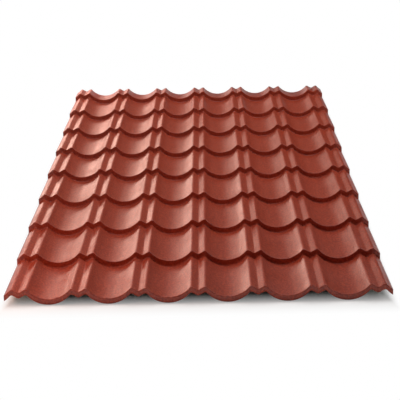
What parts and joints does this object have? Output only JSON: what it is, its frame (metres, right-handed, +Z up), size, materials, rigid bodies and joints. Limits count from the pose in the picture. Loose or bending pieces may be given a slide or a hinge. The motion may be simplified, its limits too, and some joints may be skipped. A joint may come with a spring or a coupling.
{
  "type": "tile effect metal roofing sheet",
  "caption": "Coated steel roofing sheet, roll formed into shallow pans and ridge pairs and pressed into tile-like steps, with a plain eaves lip.",
  "frame": {"origin": "on the floor, under the middle of the sheet", "axes": "+Y up the slope from the eaves lip to the cut top end, +X across the pans, +Z up"},
  "size_m": [1.19, 2.93, 0.0525],
  "materials": {
    "coated_steel": "fine-grained matt polyester coat, oxide red"
  },
  "bodies": {
    "root": {"roofing_sheet": "coated_steel"}
  },
  "joints": []
}
